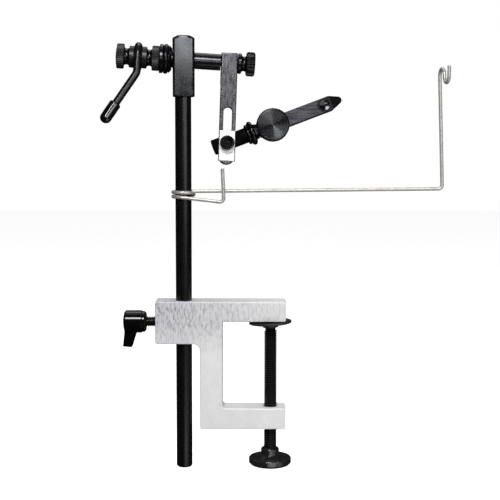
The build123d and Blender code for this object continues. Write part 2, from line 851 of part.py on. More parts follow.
def jaw_bar(side):
    """Bar of one jaw: side -1 is the front jaw, +1 the rear one."""
    half = bar_height / 2
    tongue_thick = bar_thick / 2
    bar = Box(tip_screw_at - bar_start, bar_thick, bar_height)
    bar = Pos((tip_screw_at + bar_start) / 2, -bar_half - bar_thick / 2, 0) * bar
    outer = bar.faces().sort_by(Axis.Y)[0]
    bar = chamfer(outer.edges().filter_by(Axis.X), bar_edge)
    seat = Rot(90, 0, 0) * rod(half + face_gap, bar_half + tongue_thick, bar_face + overrun)
    bar -= Pos(tip_screw_at, 0, 0) * seat
    tongue = Rot(90, 0, 0) * rod(tip_tongue_d / 2, bar_half, bar_half + tongue_thick)
    web_place = Pos(tip_screw_at - half / 2, -bar_half - tongue_thick / 2, 0)
    bar -= web_place * Box(half, tongue_thick, bar_height)
    bar += web_place * Box(half, tongue_thick, tip_tongue_d)
    bar += Pos(tip_screw_at, 0, 0) * tongue
    eye_height = fork_slot / 2 - 2 * face_gap
    eye_z = -side * fork_slot / 4
    lug = Pos(hinge_at, 0, eye_z) * Cylinder(hinge_eye_d / 2, eye_height)
    lug_end = bar_start + bar_half
    lug += Pos((hinge_at + lug_end) / 2, 0, eye_z) * Box(lug_end - hinge_at, hinge_eye_d, eye_height)
    other = Box(tip_screw_at, bar_face, bar_height + overrun)
    lug -= Pos(bar_start - bar_half + tip_screw_at / 2, bar_face / 2 - bar_half, 0) * other
    bar += lug
    hinge_slack = running_gap if side < 0 else seat_gap
    bar -= Pos(hinge_at, 0, 0) * rod(hinge_d / 2 + hinge_slack, -bar_height, bar_height)
    screw_slack = running_gap if side < 0 else wheel_screw_slack
    screw_hole = rod(wheel_screw_d / 2 + screw_slack, -bar_face - overrun, bar_face + overrun)
    bar -= Pos(wheel_at, 0, -wheel_drop) * Rot(90, 0, 0) * screw_hole
    bar -= Pos(tip_screw_at, 0, 0) * Rot(90, 0, 0) * rod(tip_shank_d / 2 + seat_gap, 0, bar_face)
    if side < 0:
        return jaw_frame * bar
    bar = mirror(bar, Plane.XZ)
    pocket = Rot(-90, 0, 0) * rod(spring_d / 2 + running_gap, 0, bar_half + spring_sink)
    return jaw_frame * (bar - Pos(wheel_at, 0, -wheel_drop) * pocket)


def jaw_tip(side):
    """Hardened tip of one jaw, lapped over the bar's tongue."""
    half, lap = bar_height / 2, bar_thick / 2
    tip = slab(tip_outline(half, tip_screw_at), -bar_face, -tip_face_gap)
    lap_back = -bar_half - lap - face_gap
    relief = Rot(90, 0, 0) * rod(tip_tongue_d / 2 + face_gap, -overrun, -lap_back)
    tip -= Pos(tip_screw_at, 0, 0) * relief
    behind = Box(2 * half, overrun - lap_back, bar_height + overrun)
    tip -= Pos(tip_screw_at - half, (overrun + lap_back) / 2, 0) * behind
    knee = tip_screw_at + half
    wedge = make_face(Polyline(
        (knee, -bar_face),
        (tip_end, -tip_nose_thick),
        (tip_end + overrun, -tip_nose_thick),
        (tip_end + overrun, -bar_face - overrun),
        (knee, -bar_face - overrun),
        close=True,
    ))
    tip -= extrude(wedge, bar_height, both=True)
    bore = rod(tip_shank_d / 2 + seat_gap, 0, bar_face + overrun)
    bore += rod(tip_screw_d / 2 + seat_gap, bar_face - tip_screw_head, bar_face + overrun)
    tip -= Pos(tip_screw_at, 0, 0) * Rot(90, 0, 0) * bore
    return jaw_frame * (tip if side < 0 else mirror(tip, Plane.XZ))


def tip_screw(side):
    """Screw that holds one jaw tip, with a coned head."""
    r, shank = tip_screw_d / 2, tip_shank_d / 2
    foot, seat = bar_half + face_gap, bar_face - tip_screw_head + face_gap
    dimple = bar_face - tip_screw_cone
    screw = turned((0, foot), (shank, foot), (shank, seat), (r, seat), (r, bar_face), (0, dimple))
    screw = Pos(tip_screw_at, 0, 0) * Rot(90, 0, 0) * screw
    return jaw_frame * (screw if side < 0 else mirror(screw, Plane.XZ))


def jaw_wheel():
    r = wheel_d / 2
    front = wheel_back + wheel_thick
    wheel = turned(
        (0, bar_face + face_gap),
        (wheel_hub_d / 2, bar_face + face_gap),
        (wheel_hub_d / 2, wheel_back),
        (r - wheel_edge, wheel_back),
        (r, wheel_back + wheel_edge),
        (r, front - wheel_edge),
        (r - wheel_edge, front),
        (r - wheel_edge - wheel_land, front),
        (0, front - wheel_dish),
    )
    wheel += rod(wheel_screw_d / 2, -bar_face, bar_face + face_gap)
    return jaw_frame * Pos(wheel_at, 0, -wheel_drop) * Rot(90, 0, 0) * wheel


def jaw_spring():
    outer, inner = spring_d / 2, spring_d / 2 - spring_wall
    low = bar_half + spring_sink - spring_height
    high = low + spring_height
    ring = turned((inner, low), (outer, low + spring_wall / 4), (outer, high), (inner, high))
    return jaw_frame * Pos(wheel_at, 0, -wheel_drop) * Rot(-90, 0, 0) * ring


# Bobbin cradle
def biarc(start, start_way, end, end_way):
    """Two tangent arcs from one point and direction to another."""
    span, both = end - start, start_way + end_way
    bend = 2 * (1 - start_way.dot(end_way))
    reach = (math.sqrt(span.dot(both) ** 2 + bend * span.dot(span)) - span.dot(both)) / bend
    near, far = start + start_way * reach, end - end_way * reach
    middle, middle_way = (near + far) * (1 / 2), (far - near).normalized()
    return [TangentArc(start, middle, tangent=start_way), TangentArc(middle, end, tangent=middle_way)]


def coil_point(quarter):
    """Point and direction of the coil, counted in quarter turns from the back of the post.

    Its two turns lie level, with a step down between them on the right of the post."""
    step_slope = coil_step / (math.pi / 2 * coil_radius)
    drops = (0, 0, 0, coil_step * coil_step_share, coil_step, coil_step, coil_step + coil_exit_drop)
    slopes = (0, 0, 0, step_slope, 0, 0, coil_exit_slope)
    angle = math.pi / 2 * (quarter + 1)
    out = Vector(math.cos(angle), math.sin(angle), 0)
    place = Vector(post_x, 0, coil_start_z - drops[quarter]) + out * coil_radius
    return place, Vector(-out.Y, out.X, -slopes[quarter]).normalized()


def cradle_path():
    """Line of the wire from the hook's end, along the long run, round the post and up the short leg."""
    start = coil_point(0)[0]
    end, end_way = coil_point(coil_quarters)
    far_corner = Vector(post_x + long_run, coil_radius, long_run_end_z)
    long_way = (start - far_corner).normalized()
    upright_top = far_corner + Vector(-upright_lean, 0, hook_z - long_run_end_z)
    aim = math.radians(hook_way)
    hook = Vector(math.cos(aim), math.sin(aim), 0) * (2 * hook_radius)
    up = Vector(0, 0, 1)
    edges = [
        Line(upright_top + hook * 2 + up * hook_end_rise, upright_top + hook * 2),
        TangentArc(upright_top + hook * 2, upright_top + hook, tangent=-up),
        TangentArc(upright_top + hook, upright_top, tangent=up),
    ]
    edges += route([upright_top, far_corner, start], [wire_bend])
    here, way = start, long_way
    for quarter in range(1, coil_quarters + 1):
        there, next_way = coil_point(quarter)
        edges += biarc(here, way, there, next_way)
        here, way = there, next_way
    leg_corner = end + end_way * short_leg_run
    leg_top = leg_corner + Vector(-short_leg_lean, 0, short_leg_height)
    return Wire(edges + route([end, leg_corner, leg_top], [wire_bend]))


def least_gap(path, diameter):
    """Least clear gap of a wire to itself, on points along it that are over half a coil apart."""
    points = [path @ (step / gap_steps) for step in range(gap_steps + 1)]
    spacing = path.length / gap_steps
    apart = int(math.pi * coil_radius / spacing) + 1
    return min(
        (points[a] - points[b]).length
        for a in range(gap_steps + 1)
        for b in range(a + apart, gap_steps + 1)
    ) - diameter


def bobbin_cradle():
    path = cradle_path()
    return sweep(along(path) * Circle(wire_d / 2), path=path)


parts["clamp_frame"] = clamp_frame()
parts["clamp_pad"] = clamp_pad()
parts["swivel_stud"] = swivel_stud()
parts["clamp_screw"] = clamp_screw()
parts["clamp_knob"] = clamp_knob()
parts["lock_screw"] = lock_screw()
parts["lock_lever"] = lock_lever()
parts["post"] = post()
parts["head_block"] = head_block()
parts["head_set_screw"] = head_set_screw()
parts["shaft_bushing"] = shaft_bushing()
parts["rotor_shaft"] = rotor_shaft()
parts["thrust_disc"] = thrust_disc()
parts["drag_ring"] = drag_ring()
parts["pressure_disc"] = pressure_disc()
parts["drag_nut"] = drag_nut()
parts["crank_handle"] = crank_handle()
parts["handle_grip"] = handle_grip()
parts["handle_nut"] = handle_nut()
parts["jaw_arm"] = jaw_arm()
parts["arm_thumbscrew"] = arm_thumbscrew()
parts["slide_plate"] = slide_plate()
parts["pivot_screw"] = pivot_screw()
parts["jaw_stem"] = jaw_stem()
parts["jaw_collar"] = jaw_collar()
parts["hinge_pin"] = hinge_pin()
parts["front_jaw_bar"] = jaw_bar(-1)
parts["rear_jaw_bar"] = jaw_bar(1)
parts["front_jaw_tip"] = jaw_tip(-1)
parts["rear_jaw_tip"] = jaw_tip(1)
parts["front_tip_screw"] = tip_screw(-1)
parts["rear_tip_screw"] = tip_screw(1)
parts["jaw_wheel"] = jaw_wheel()
parts["jaw_spring"] = jaw_spring()
parts["bobbin_cradle"] = bobbin_cradle()

cradle_line = cradle_path()
cradle_volume = math.pi * (wire_d / 2) ** 2 * cradle_line.length
print("cradle: least gap to itself %.2f mm" % least_gap(cradle_line, wire_d))
print("cradle: volume over section times length %.4f" % (parts["bobbin_cradle"].volume / cradle_volume))

os.makedirs("parts", exist_ok=True)
for name, solid in parts.items():
    solid.label = name
    export_step(solid, os.path.join("parts", name + ".step"))
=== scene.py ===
"""Finishes, threads, light and camera of a fly tying vise on a C-clamp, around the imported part."""

import json
import math

import bmesh
import bpy
from mathutils import Matrix, Vector


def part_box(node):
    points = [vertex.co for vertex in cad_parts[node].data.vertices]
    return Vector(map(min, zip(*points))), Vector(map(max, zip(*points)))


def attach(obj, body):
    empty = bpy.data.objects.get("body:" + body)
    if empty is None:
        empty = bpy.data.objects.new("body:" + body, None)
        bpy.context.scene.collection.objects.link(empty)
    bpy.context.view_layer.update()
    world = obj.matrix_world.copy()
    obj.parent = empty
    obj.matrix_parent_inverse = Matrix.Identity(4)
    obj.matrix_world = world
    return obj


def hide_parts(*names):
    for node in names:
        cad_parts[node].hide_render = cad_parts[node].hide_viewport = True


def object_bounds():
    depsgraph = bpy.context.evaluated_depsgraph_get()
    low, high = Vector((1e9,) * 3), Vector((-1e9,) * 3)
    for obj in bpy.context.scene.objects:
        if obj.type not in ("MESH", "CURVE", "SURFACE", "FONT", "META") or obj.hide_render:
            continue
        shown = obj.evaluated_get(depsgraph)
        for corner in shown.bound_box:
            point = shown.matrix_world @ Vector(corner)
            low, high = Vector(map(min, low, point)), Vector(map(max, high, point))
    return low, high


MM = 0.001

# Edges: the angle from which one counts as sharp, and below which two faces count as one flat
SHARP_ANGLE = math.radians(32)
FLAT_ANGLE = math.radians(0.05)
MERGE_GAP = 0.002 * MM
EDGE_SEGMENTS = 2

# Inch threads of the clamp screw and the lock screw
CLAMP_PITCH = 25.4 / 18 * MM
LOCK_PITCH = 25.4 / 20 * MM
THREAD_DEPTH_SHARE = 0.65
THREAD_CREST_SHARE = 0.12
THREAD_STEPS = 28
ROOT_SINK = 0.1
CORE_RISE = 0.05
CLAMP_RADIUS = 25.4 * 5 / 32 * MM
LOCK_RADIUS = 25.4 / 8 * MM

# Bright plate: half its width, and where the painted shade along its sides begins and ends
PLATE_HALF = 4.9 * MM
PLATE_SHADE_FROM = PLATE_HALF - 0.75 * MM
PLATE_SHADE_TO = PLATE_HALF - 0.3 * MM

# Slope of the brush lines along the jaw bars, and the size that one unit of the wheel's map stands for
BAR_SLOPE = math.radians(21)
RING_UNIT = 10 * MM

# Camera: the photograph's place, lens and slight roll
CAMERA_PLACE = (-12.42 * MM, -704.64 * MM, 120.43 * MM)
CAMERA_TILT = math.radians(6.35)
CAMERA_ROLL = math.radians(0.103)
CAMERA_LENS = 86.04
CAMERA_SHIFT = 0.0005
SENSOR_WIDTH = 36.0
CLIP_START = 0.05

# Studio: strength of the white surround and the floor for camera, glossy and diffuse rays
SURROUND_SEEN = 1.0
SURROUND_GLOSS = 0.02
SURROUND_FILL = 0.23
FLOOR_SEEN = 0.75
FLOOR_WHITE = 0.85
FLOOR_DROP = 80 * MM
FLOOR_SIZE = 6.0

# Lamps: place, point it is turned to, width and height, all in metres, and brightness
LAMPS = (
    ("key", (-0.06, -0.75, 0.68), (-0.03, 0, 0.13), 0.3, 0.26, 19.0),
    ("left panel", (-0.27, -0.75, 0.48), (-0.1, 0, 0.12), 0.07, 0.16, 24.0),
    ("low panel", (0.06, -0.75, 0.222), (0.06, 0, 0.222), 0.21, 0.06, 10.0),
    ("right panel", (0.34, -0.58, 0.19), (-0.05, 0, 0.19), 0.45, 0.32, 2.1),
    ("rim", (0, 0.45, 0.82), (-0.05, 0, 0.15), 0.5, 0.2, 3.4),
    ("sky", (0, 0.05, 1.0), (0, 0.05, 0), 0.4, 0.4, 0.8),
    ("floor card", (0.2, -0.27, -0.14), (0.2, -0.27, 1), 0.4, 0.38, 0.55),
    ("knob card", (0.03, -0.21, -0.142), (0.03, -0.21, 1), 0.14, 0.1, 1.2),
)
OVERHEAD = ("overhead", (0, 0.1, 1.1), (0, 0.1, 0), 0.9, 0.9, 2.45)

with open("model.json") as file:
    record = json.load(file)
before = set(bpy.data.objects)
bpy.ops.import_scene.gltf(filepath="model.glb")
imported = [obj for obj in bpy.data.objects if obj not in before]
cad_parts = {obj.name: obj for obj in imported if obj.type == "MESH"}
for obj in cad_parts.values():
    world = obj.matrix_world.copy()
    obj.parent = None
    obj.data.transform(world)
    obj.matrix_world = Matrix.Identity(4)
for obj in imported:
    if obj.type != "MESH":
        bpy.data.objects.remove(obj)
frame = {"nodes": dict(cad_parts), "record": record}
cad_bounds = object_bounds()
scene = bpy.context.scene
scene.view_settings.view_transform = "Standard"
record = frame["record"]
node_body = {node: body for body, nodes in record["behaviour"]["bodies"].items() for node in nodes}


def joint(name):
    return next(found for found in record["behaviour"]["joints"] if found["name"] == name)


def joint_axis(name):
    return Vector(joint(name)["axis"]).normalized()


def joint_line(name):
    """Place and unit axis of a hinge, in metres."""
    return Vector(joint(name)["pos_m"]), joint_axis(name)


class Finish:
    """One procedural material on object coordinates, built up step by step."""

    def __init__(self, name, **values):
        self.material = bpy.data.materials.new(name)
        self.material.use_nodes = True
        self.tree = self.material.node_tree
        self.shader = self.tree.nodes["Principled BSDF"]
        for key, value in values.items():
            self.shader.inputs[key.replace("_", " ")].default_value = value

    def node(self, kind, **values):
        made = self.tree.nodes.new("ShaderNode" + kind)
        for key, value in values.items():
            made.inputs[key].default_value = value
        return made

    def link(self, out, socket):
        self.tree.links.new(out, socket)

    def coordinates(self, stretch=(1, 1, 1), turn=(0, 0, 0)):
        place = self.node("Mapping", Scale=stretch, Rotation=turn)
        self.link(self.node("TexCoord").outputs["Object"], place.inputs["Vector"])
        return place.outputs["Vector"]

    def noise(self, scale, stretch=(1, 1, 1), turn=(0, 0, 0), detail=4.0):
        made = self.node("TexNoise", Scale=scale, Detail=detail)
        self.link(self.coordinates(stretch, turn), made.inputs["Vector"])
        return made.outputs["Fac"]

    def height(self, axis, low, high):
        """Share of the way along an axis from low to high, in metres."""
        split = self.node("SeparateXYZ")
        self.link(self.coordinates(), split.inputs["Vector"])
        return self.spread(split.outputs[axis], 0.0, 1.0, low, high)

    def spread(self, value, low, high, start=0.25, end=0.75):
        """Value between start and end, laid out from low to high."""
        made = self.node("MapRange")
        for key, number in (("From Min", start), ("From Max", end), ("To Min", low), ("To Max", high)):
            made.inputs[key].default_value = number
        self.link(value, made.inputs["Value"])
        return made.outputs["Result"]

    def tones(self, value, *stops):
        """Colours that a value runs through, each with its place."""
        made = self.node("ValToRGB")
        band = made.color_ramp.elements
        while len(band) < len(stops):
            band.new(1.0)
        for element, (place, colour) in zip(band, stops):
            element.position = place
            element.color = (*colour, 1)
        self.link(value, made.inputs["Fac"])
        return made.outputs["Color"]

    def mix(self, share, first, second):
        """Two colours, the second by its share."""
        made = self.node("Mix")
        made.data_type = "RGBA"
        for value, socket in ((share, "Factor_Float"), (first, "A_Color"), (second, "B_Color")):
            target = next(s for s in made.inputs if s.identifier == socket)
            if isinstance(value, bpy.types.NodeSocket):
                self.link(value, target)
            else:
                target.default_value = value
        return next(s for s in made.outputs if s.identifier == "Result_Color")

    def worn_edges(self, start, end):
        """Share that grows on the outer edges of a piece."""
        return self.spread(self.node("NewGeometry").outputs["Pointiness"], 0.0, 1.0, start, end)

    def set(self, socket, value):
        self.link(value, self.shader.inputs[socket])

    def bump(self, value, strength, distance):
        made = self.node("Bump", Strength=strength, Distance=distance)
        self.link(value, made.inputs["Height"])
        self.link(made.outputs["Normal"], self.shader.inputs["Normal"])

    def vector(self, operation, first, second=None, out="Vector"):
        made = self.node("VectorMath")
        made.operation = operation
        self.link(first, made.inputs[0])
        if second is not None:
            made.inputs[1].default_value = second
        return made.outputs[out]

    def along(self, place, axis):
        """Distance from a plane through the piece, the same on both sides, in metres."""
        arm = self.vector("SUBTRACT", self.coordinates(), place)
        size = self.node("Math")
        size.operation = "ABSOLUTE"
        self.link(self.vector("DOT_PRODUCT", arm, axis, "Value"), size.inputs[0])
        return size.outputs["Value"]

    def radius(self, place, axis):
        """Distance from a line through the piece, in metres."""
        arm = self.vector("SUBTRACT", self.coordinates(), place)
        return self.vector("LENGTH", self.vector("CROSS_PRODUCT", arm, axis), out="Value")

    def turned(self, amount, way):
        """Stretched gloss along the rings that a lathe leaves, read from the piece's own map."""
        rings = self.node("Tangent")
        rings.direction_type = "UV_MAP"
        rings.uv_map = "rings"
        self.shader.inputs["Anisotropic"].default_value = amount
        self.shader.inputs["Anisotropic Rotation"].default_value = way
        self.link(rings.outputs["Tangent"], self.shader.inputs["Tangent"])


def grey(value, cool=1.0):
    """Neutral tone, bluer where cool is over 1."""
    return value, value, value * cool


def black_steel(name, tone=0.002, rough=0.2, grain=2400.0, stretch=(1, 1, 1), level=0.5, wear=0.006,
                tint=(0.93, 0.93, 1.0)):
    """Blackened or anodised metal: near black, satin, with fine grain and slightly worn edges."""
    finish = Finish(name, Specular_IOR_Level=level, Specular_Tint=(*tint, 1))
    fine = finish.noise(grain, stretch)
    broad = finish.noise(160.0, detail=2.0)
    base = finish.tones(broad, (0.3, grey(tone * 0.7)), (0.7, grey(tone * 1.4, 1.1)))
    worn = finish.worn_edges(0.53, 0.62)
    finish.set("Base Color", finish.mix(worn, base, (*grey(wear), 1)))
    finish.set("Roughness", finish.spread(fine, rough - 0.04, rough + 0.05))
    finish.bump(fine, 0.05, 0.03 * MM)
    return finish


def brushed_steel(name, tone, rough, contrast, grain, stretch, turn=(0, 0, 0)):
    """Dark grey bar steel with brush lines one way and faint cloudy patches."""
    finish = Finish(name, Metallic=1.0)
    lines = finish.noise(grain, stretch, turn, detail=3.0)
    cloud = finish.noise(240.0, detail=2.0)
    dark, light = grey(tone * (1 - contrast), 1.1), grey(tone * (1 + contrast), 1.1)
    base = finish.tones(lines, (0.3, dark), (0.7, light))
    patches = finish.spread(cloud, 0.0, 0.35)
    finish.set("Base Color", finish.mix(patches, base, (*grey(tone * 0.7, 1.1), 1)))
    finish.set("Roughness", finish.spread(lines, rough - 0.05, rough + 0.06))
    finish.bump(lines, 0.04, 0.03 * MM)
    return finish


def threaded_black(name, joint, radius):
    """Black rolled thread, paler on its crests as polish and painted highlight, and painted near black in its
    roots as painted shade.
    """
    finish = Finish(name, Specular_IOR_Level=0.45)
    crest = finish.spread(finish.radius(*joint_line(joint)), 0.0, 1.0, radius * 0.88, radius)
    grain = finish.noise(1500.0, detail=3.0)
    crest_polish_and_painted_highlight = finish.tones(grain, (0.3, grey(0.016)), (0.7, grey(0.03)))
    # Painted shade near black in the thread roots; crests paler as polish and as painted highlight
    finish.set("Base Color", finish.mix(crest, (*grey(0.0004), 1), crest_polish_and_painted_highlight))
    finish.set("Roughness", finish.spread(grain, 0.18, 0.28))
    return finish


def knurled_black(name, node, joint):
    """Black turned nut: glossy neck and flanges, matt on the fine ridges of its rim."""
    finish = Finish(name, Specular_IOR_Level=0.55, Specular_Tint=(0.95, 0.95, 1.0, 1))
    low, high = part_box(node)
    rim = (high[1] - low[1]) / 2
    ridges = finish.spread(finish.radius(*joint_line(joint)), 0.0, 1.0, rim * 0.8, rim * 0.88)
    grain = finish.noise(1800.0, detail=3.0)
    smooth = finish.tones(grain, (0.3, grey(0.001)), (0.7, grey(0.004)))
    finish.set("Base Color", finish.mix(ridges, smooth, (*grey(0.008, 1.1), 1)))
    finish.set("Roughness", finish.spread(ridges, 0.12, 0.46, 0.0, 1.0))
    finish.bump(grain, 0.05, 0.03 * MM)
    return finish


def scuffed_head():
    """Black anodised block, glossy with cloudy rubbed patches, more of them low on its faces."""
    finish = Finish("head_satin", Specular_IOR_Level=0.6, Specular_Tint=(0.93, 0.95, 1.0, 1))
    cloud = finish.noise(150.0, (1, 1, 0.8), detail=2.0)
    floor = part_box("head_block")[0][2]
    foot = finish.height("Z", floor + 15 * MM, floor + 3 * MM)
    few = finish.tones(cloud, (0.45, grey(0.0)), (0.8, grey(0.35)))
    many = finish.tones(cloud, (0.42, grey(0.0)), (0.62, grey(1.0)))
    rubbed = finish.mix(foot, few, many)
    finish.set("Base Color", finish.mix(rubbed, (*grey(0.003), 1), (0.022, 0.023, 0.026, 1)))
    finish.set("Roughness", finish.spread(cloud, 0.11, 0.19))
    finish.bump(cloud, 0.01, 0.1 * MM)
    return finish


def gloss_plastic(name, tone=0.002, rough=0.1, level=0.5):
    """Moulded black plastic with a faint ripple."""
    finish = Finish(name, Specular_IOR_Level=level)
    ripple = finish.noise(220.0, detail=2.0)
    finish.set("Base Color", finish.tones(ripple, (0.3, grey(tone)), (0.7, grey(tone * 1.6, 1.05))))
    finish.set("Roughness", finish.spread(finish.noise(500.0), rough, rough + 0.04))
    finish.bump(ripple, 0.002, 0.2 * MM)
    return finish


def milled_aluminium():
    """Bare bar aluminium: short upright flecks of grain on the block, painted darker there as painted shade,
    and paler and smoother towards foot and arm as painted light.
    """
    finish = Finish("milled_aluminium", Metallic=0.1, Specular_IOR_Level=0.4)
    flecks = finish.noise(950.0, (1.5, 1.5, 0.36), detail=3.0)
    patches = finish.noise(130.0, (1, 1, 0.5), detail=3.0)
    fine = finish.noise(2600.0, (1, 1, 0.4), detail=6.0)
    # Block tones: upright flecks of grain, held darker overall as painted shade on the upper block
    block = finish.tones(
        flecks, (0.36, (0.26, 0.26, 0.29)), (0.46, (0.55, 0.55, 0.585)), (0.64, (0.7, 0.695, 0.72)))
    # Foot tones: paler and even, as painted light
    foot = finish.tones(
        flecks, (0.3, (0.83, 0.83, 0.825)), (0.5, (0.87, 0.87, 0.865)), (0.7, (0.89, 0.89, 0.885)))
    low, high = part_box("clamp_frame")
    # Painted light: the colour turns paler downwards and towards +X, leaving the upper block darker as painted
    # shade
    painted_light_downwards = finish.height("Z", high[2] - 14 * MM, low[2] + 45 * MM)
    along = finish.height("X", low[0] + 12 * MM, high[0] + 25 * MM)
    base = finish.mix(along, block, foot)
    base = finish.mix(painted_light_downwards, base, foot)
    finish.set("Base Color", finish.mix(finish.spread(patches, 0.0, 0.3), base, (0.66, 0.66, 0.67, 1)))
    finish.set("Roughness", finish.spread(fine, 0.42, 0.62))
    finish.bump(flecks, 0.3, 0.08 * MM)
    return finish


def bright_plate():
    """Ground and plated strip, white where it faces the lamp, with painted shade along its sides in place of
    the dark reflections on its edges.
    """
    finish = Finish("ground_plate", Metallic=0.6, Specular_IOR_Level=0.5)
    lines = finish.noise(1500.0, (1, 1, 0.1), detail=5.0)
    bright = finish.tones(lines, (0.3, (0.7, 0.69, 0.695)), (0.7, (0.77, 0.76, 0.765)))
    low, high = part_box("slide_plate")
    middle = (Vector(low) + Vector(high)) / 2
    across = joint_axis("jaw_angle").cross(joint_axis("jaw_height")).normalized()
    # Painted shade: a dark band along both sides of the plate, standing in for dark reflections on its edges
    edge = finish.spread(finish.along(middle, across), 0.0, 1.0, PLATE_SHADE_FROM, PLATE_SHADE_TO)
    finish.set("Base Color", finish.mix(edge, bright, (*grey(0.08), 1)))
    finish.set("Roughness", finish.spread(lines, 0.34, 0.44))
    finish.bump(lines, 0.06, 0.03 * MM)
    return finish


def nickel_wire():
    """Drawn and plated wire, slightly warm and uneven along its length."""
    finish = Finish("nickel_wire", Metallic=0.6)
    drawn = finish.noise(500.0, detail=4.0)
    finish.set("Base Color", finish.tones(drawn, (0.3, (0.54, 0.527, 0.49)), (0.7, (0.68, 0.667, 0.625))))
    finish.set("Roughness", finish.spread(drawn, 0.34, 0.46))
    finish.bump(drawn, 0.08, 0.04 * MM)
    return finish


def turned_wheel():
    """Lathe-turned black wheel, whose gloss is drawn out across its fine rings."""
    finish = Finish("turned_wheel", Specular_IOR_Level=0.5, Specular_Tint=(0.93, 0.94, 1.0, 1))
    noise = finish.node("TexNoise", Scale=1600.0, Detail=2.0)
    noise.noise_dimensions = "1D"
    finish.link(finish.radius(*joint_line("jaw_wheel_turn")), noise.inputs["W"])
    rings = noise.outputs["Fac"]
    finish.set("Base Color", finish.tones(rings, (0.35, grey(0.001)), (0.65, grey(0.004, 1.1))))
    finish.set("Roughness", finish.spread(rings, 0.22, 0.32))
    finish.turned(0.95, 0.25)
    return finish


POST = black_steel("blued_post", tone=0.003, rough=0.26, tint=(1.0, 0.93, 0.97))
SHAFT = black_steel("blued_shaft", rough=0.21, level=0.6)
ROD = black_steel("blued_rod", tone=0.004, rough=0.27, grain=1500.0, stretch=(1, 1, 0.2), level=0.55)
STEEL = black_steel("black_steel", rough=0.13)
# Pad tone raised tenfold over the other black steel, as painted light for its brightly lit top
PAD_PAINTED_LIGHT = black_steel("pad_satin_painted_light", tone=0.02, rough=0.3, level=0.8)
STEM = black_steel("stem_matt", tone=0.001, rough=0.5, level=0.03, wear=0.008)
TIPS = black_steel("tip_satin", rough=0.24, level=0.35, wear=0.01)
DISCS = black_steel("black_discs")
HEAD = scuffed_head()
ARM = brushed_steel("arm_brushed", tone=0.118, rough=0.24, contrast=0.11, grain=700.0, stretch=(1.3, 1.3, 0.18))
BARS = brushed_steel(
    "bar_brushed", tone=0.07, rough=0.27, contrast=0.4, grain=1000.0, stretch=(0.06, 1.3, 1.3),
    turn=(0, BAR_SLOPE, 0))
CLAMP_THREAD = threaded_black("clamp_thread", "clamp_screw_turn", CLAMP_RADIUS)
LOCK_THREAD = threaded_black("lock_thread", "post_lock_turn", LOCK_RADIUS)
RUBBER = black_steel("drag_rubber", rough=0.3, level=0.4)
DRAG_NUT = knurled_black("drag_nut_black", "drag_nut", "drag_nut_turn")
HANDLE_NUT = knurled_black("handle_nut_black", "handle_nut", "handle_nut_turn")
THUMB = black_steel("thumb_black")
PLASTIC = gloss_plastic("black_plastic", rough=0.07)
GRIP = gloss_plastic("grip_plastic", level=1.0)
KNOB = gloss_plastic("knob_plastic", tone=0.012, level=0.9)
WHEEL = turned_wheel()
ALUMINIUM = milled_aluminium()
PLATE = bright_plate()
NICKEL = nickel_wire()

# Finish of each piece and the width of its edge rounding in millimetres
FINISH = {
    "clamp_frame": (ALUMINIUM, 0.3),
    "clamp_pad": (PAD_PAINTED_LIGHT, 0.1), "swivel_stud": (STEEL, 0.0),
    "clamp_knob": (KNOB, 0.25), "lock_lever": (PLASTIC, 0.25),
    "post": (POST, 0.1), "head_block": (HEAD, 0.2), "head_set_screw": (STEEL, 0.0),
    "shaft_bushing": (STEEL, 0.0), "rotor_shaft": (SHAFT, 0.1),
    "thrust_disc": (DISCS, 0.15), "drag_ring": (RUBBER, 0.0), "pressure_disc": (DISCS, 0.15),
    "drag_nut": (DRAG_NUT, 0.08), "crank_handle": (ROD, 0.0), "handle_grip": (GRIP, 0.15),
    "handle_nut": (HANDLE_NUT, 0.08),
    "jaw_arm": (ARM, 0.35), "arm_thumbscrew": (THUMB, 0.08), "slide_plate": (PLATE, 0.3),
    "pivot_screw": (STEEL, 0.15),
    "jaw_stem": (STEM, 0.12), "jaw_collar": (STEEL, 0.0), "hinge_pin": (STEEL, 0.0),
    "front_jaw_bar": (BARS, 0.12), "rear_jaw_bar": (BARS, 0.12),
    "front_jaw_tip": (TIPS, 0.12), "rear_jaw_tip": (TIPS, 0.12),
    "front_tip_screw": (STEEL, 0.08), "rear_tip_screw": (STEEL, 0.08),
    "jaw_wheel": (WHEEL, 0.15), "jaw_spring": (STEEL, 0.0),
    "bobbin_cradle": (NICKEL, 0.0),
}
# Piece with a map of its lathe rings, and the joint on whose axis it was turned
TURNED = {"jaw_wheel": "jaw_wheel_turn"}


def new_piece(name, work, finish, node):
    """Mesh object from a bmesh, at the origin, in place of a CAD node."""
    mesh = bpy.data.meshes.new(name)
    work.to_mesh(mesh)
    work.free()
    mesh.shade_smooth()
    mesh.set_sharp_from_angle(angle=SHARP_ANGLE)
    mesh.materials.append(finish.material)
    obj = bpy.data.objects.new(name, mesh)
    scene.collection.objects.link(obj)
    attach(obj, node_body[node])
    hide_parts(node)
    return obj


def merged_copy(node):
    """A CAD node's mesh with its triangles joined."""
    work = bmesh.new()
    work.from_mesh(frame["nodes"][node].data)
    bmesh.ops.remove_doubles(work, verts=work.verts, dist=MERGE_GAP)
    return work


def map_rings(work, place, axis):
    """Own map of a turned piece: round the axis one way, along its radius the other."""
    rings = work.loops.layers.uv.new("rings")
    side = axis.orthogonal().normalized()
    up = axis.cross(side)
    for face in work.faces:
        middle = face.calc_center_median() - place
        start = math.atan2(middle.dot(up), middle.dot(side))
        for loop in face.loops:
            arm = loop.vert.co - place
            flat = math.hypot(arm.dot(up), arm.dot(side))
            turn = math.atan2(arm.dot(up), arm.dot(side)) - start if flat > MERGE_GAP else 0.0
            turn = (turn + math.pi) % (2 * math.pi) - math.pi
            loop[rings].uv = ((start + turn) / (2 * math.pi), flat / RING_UNIT)


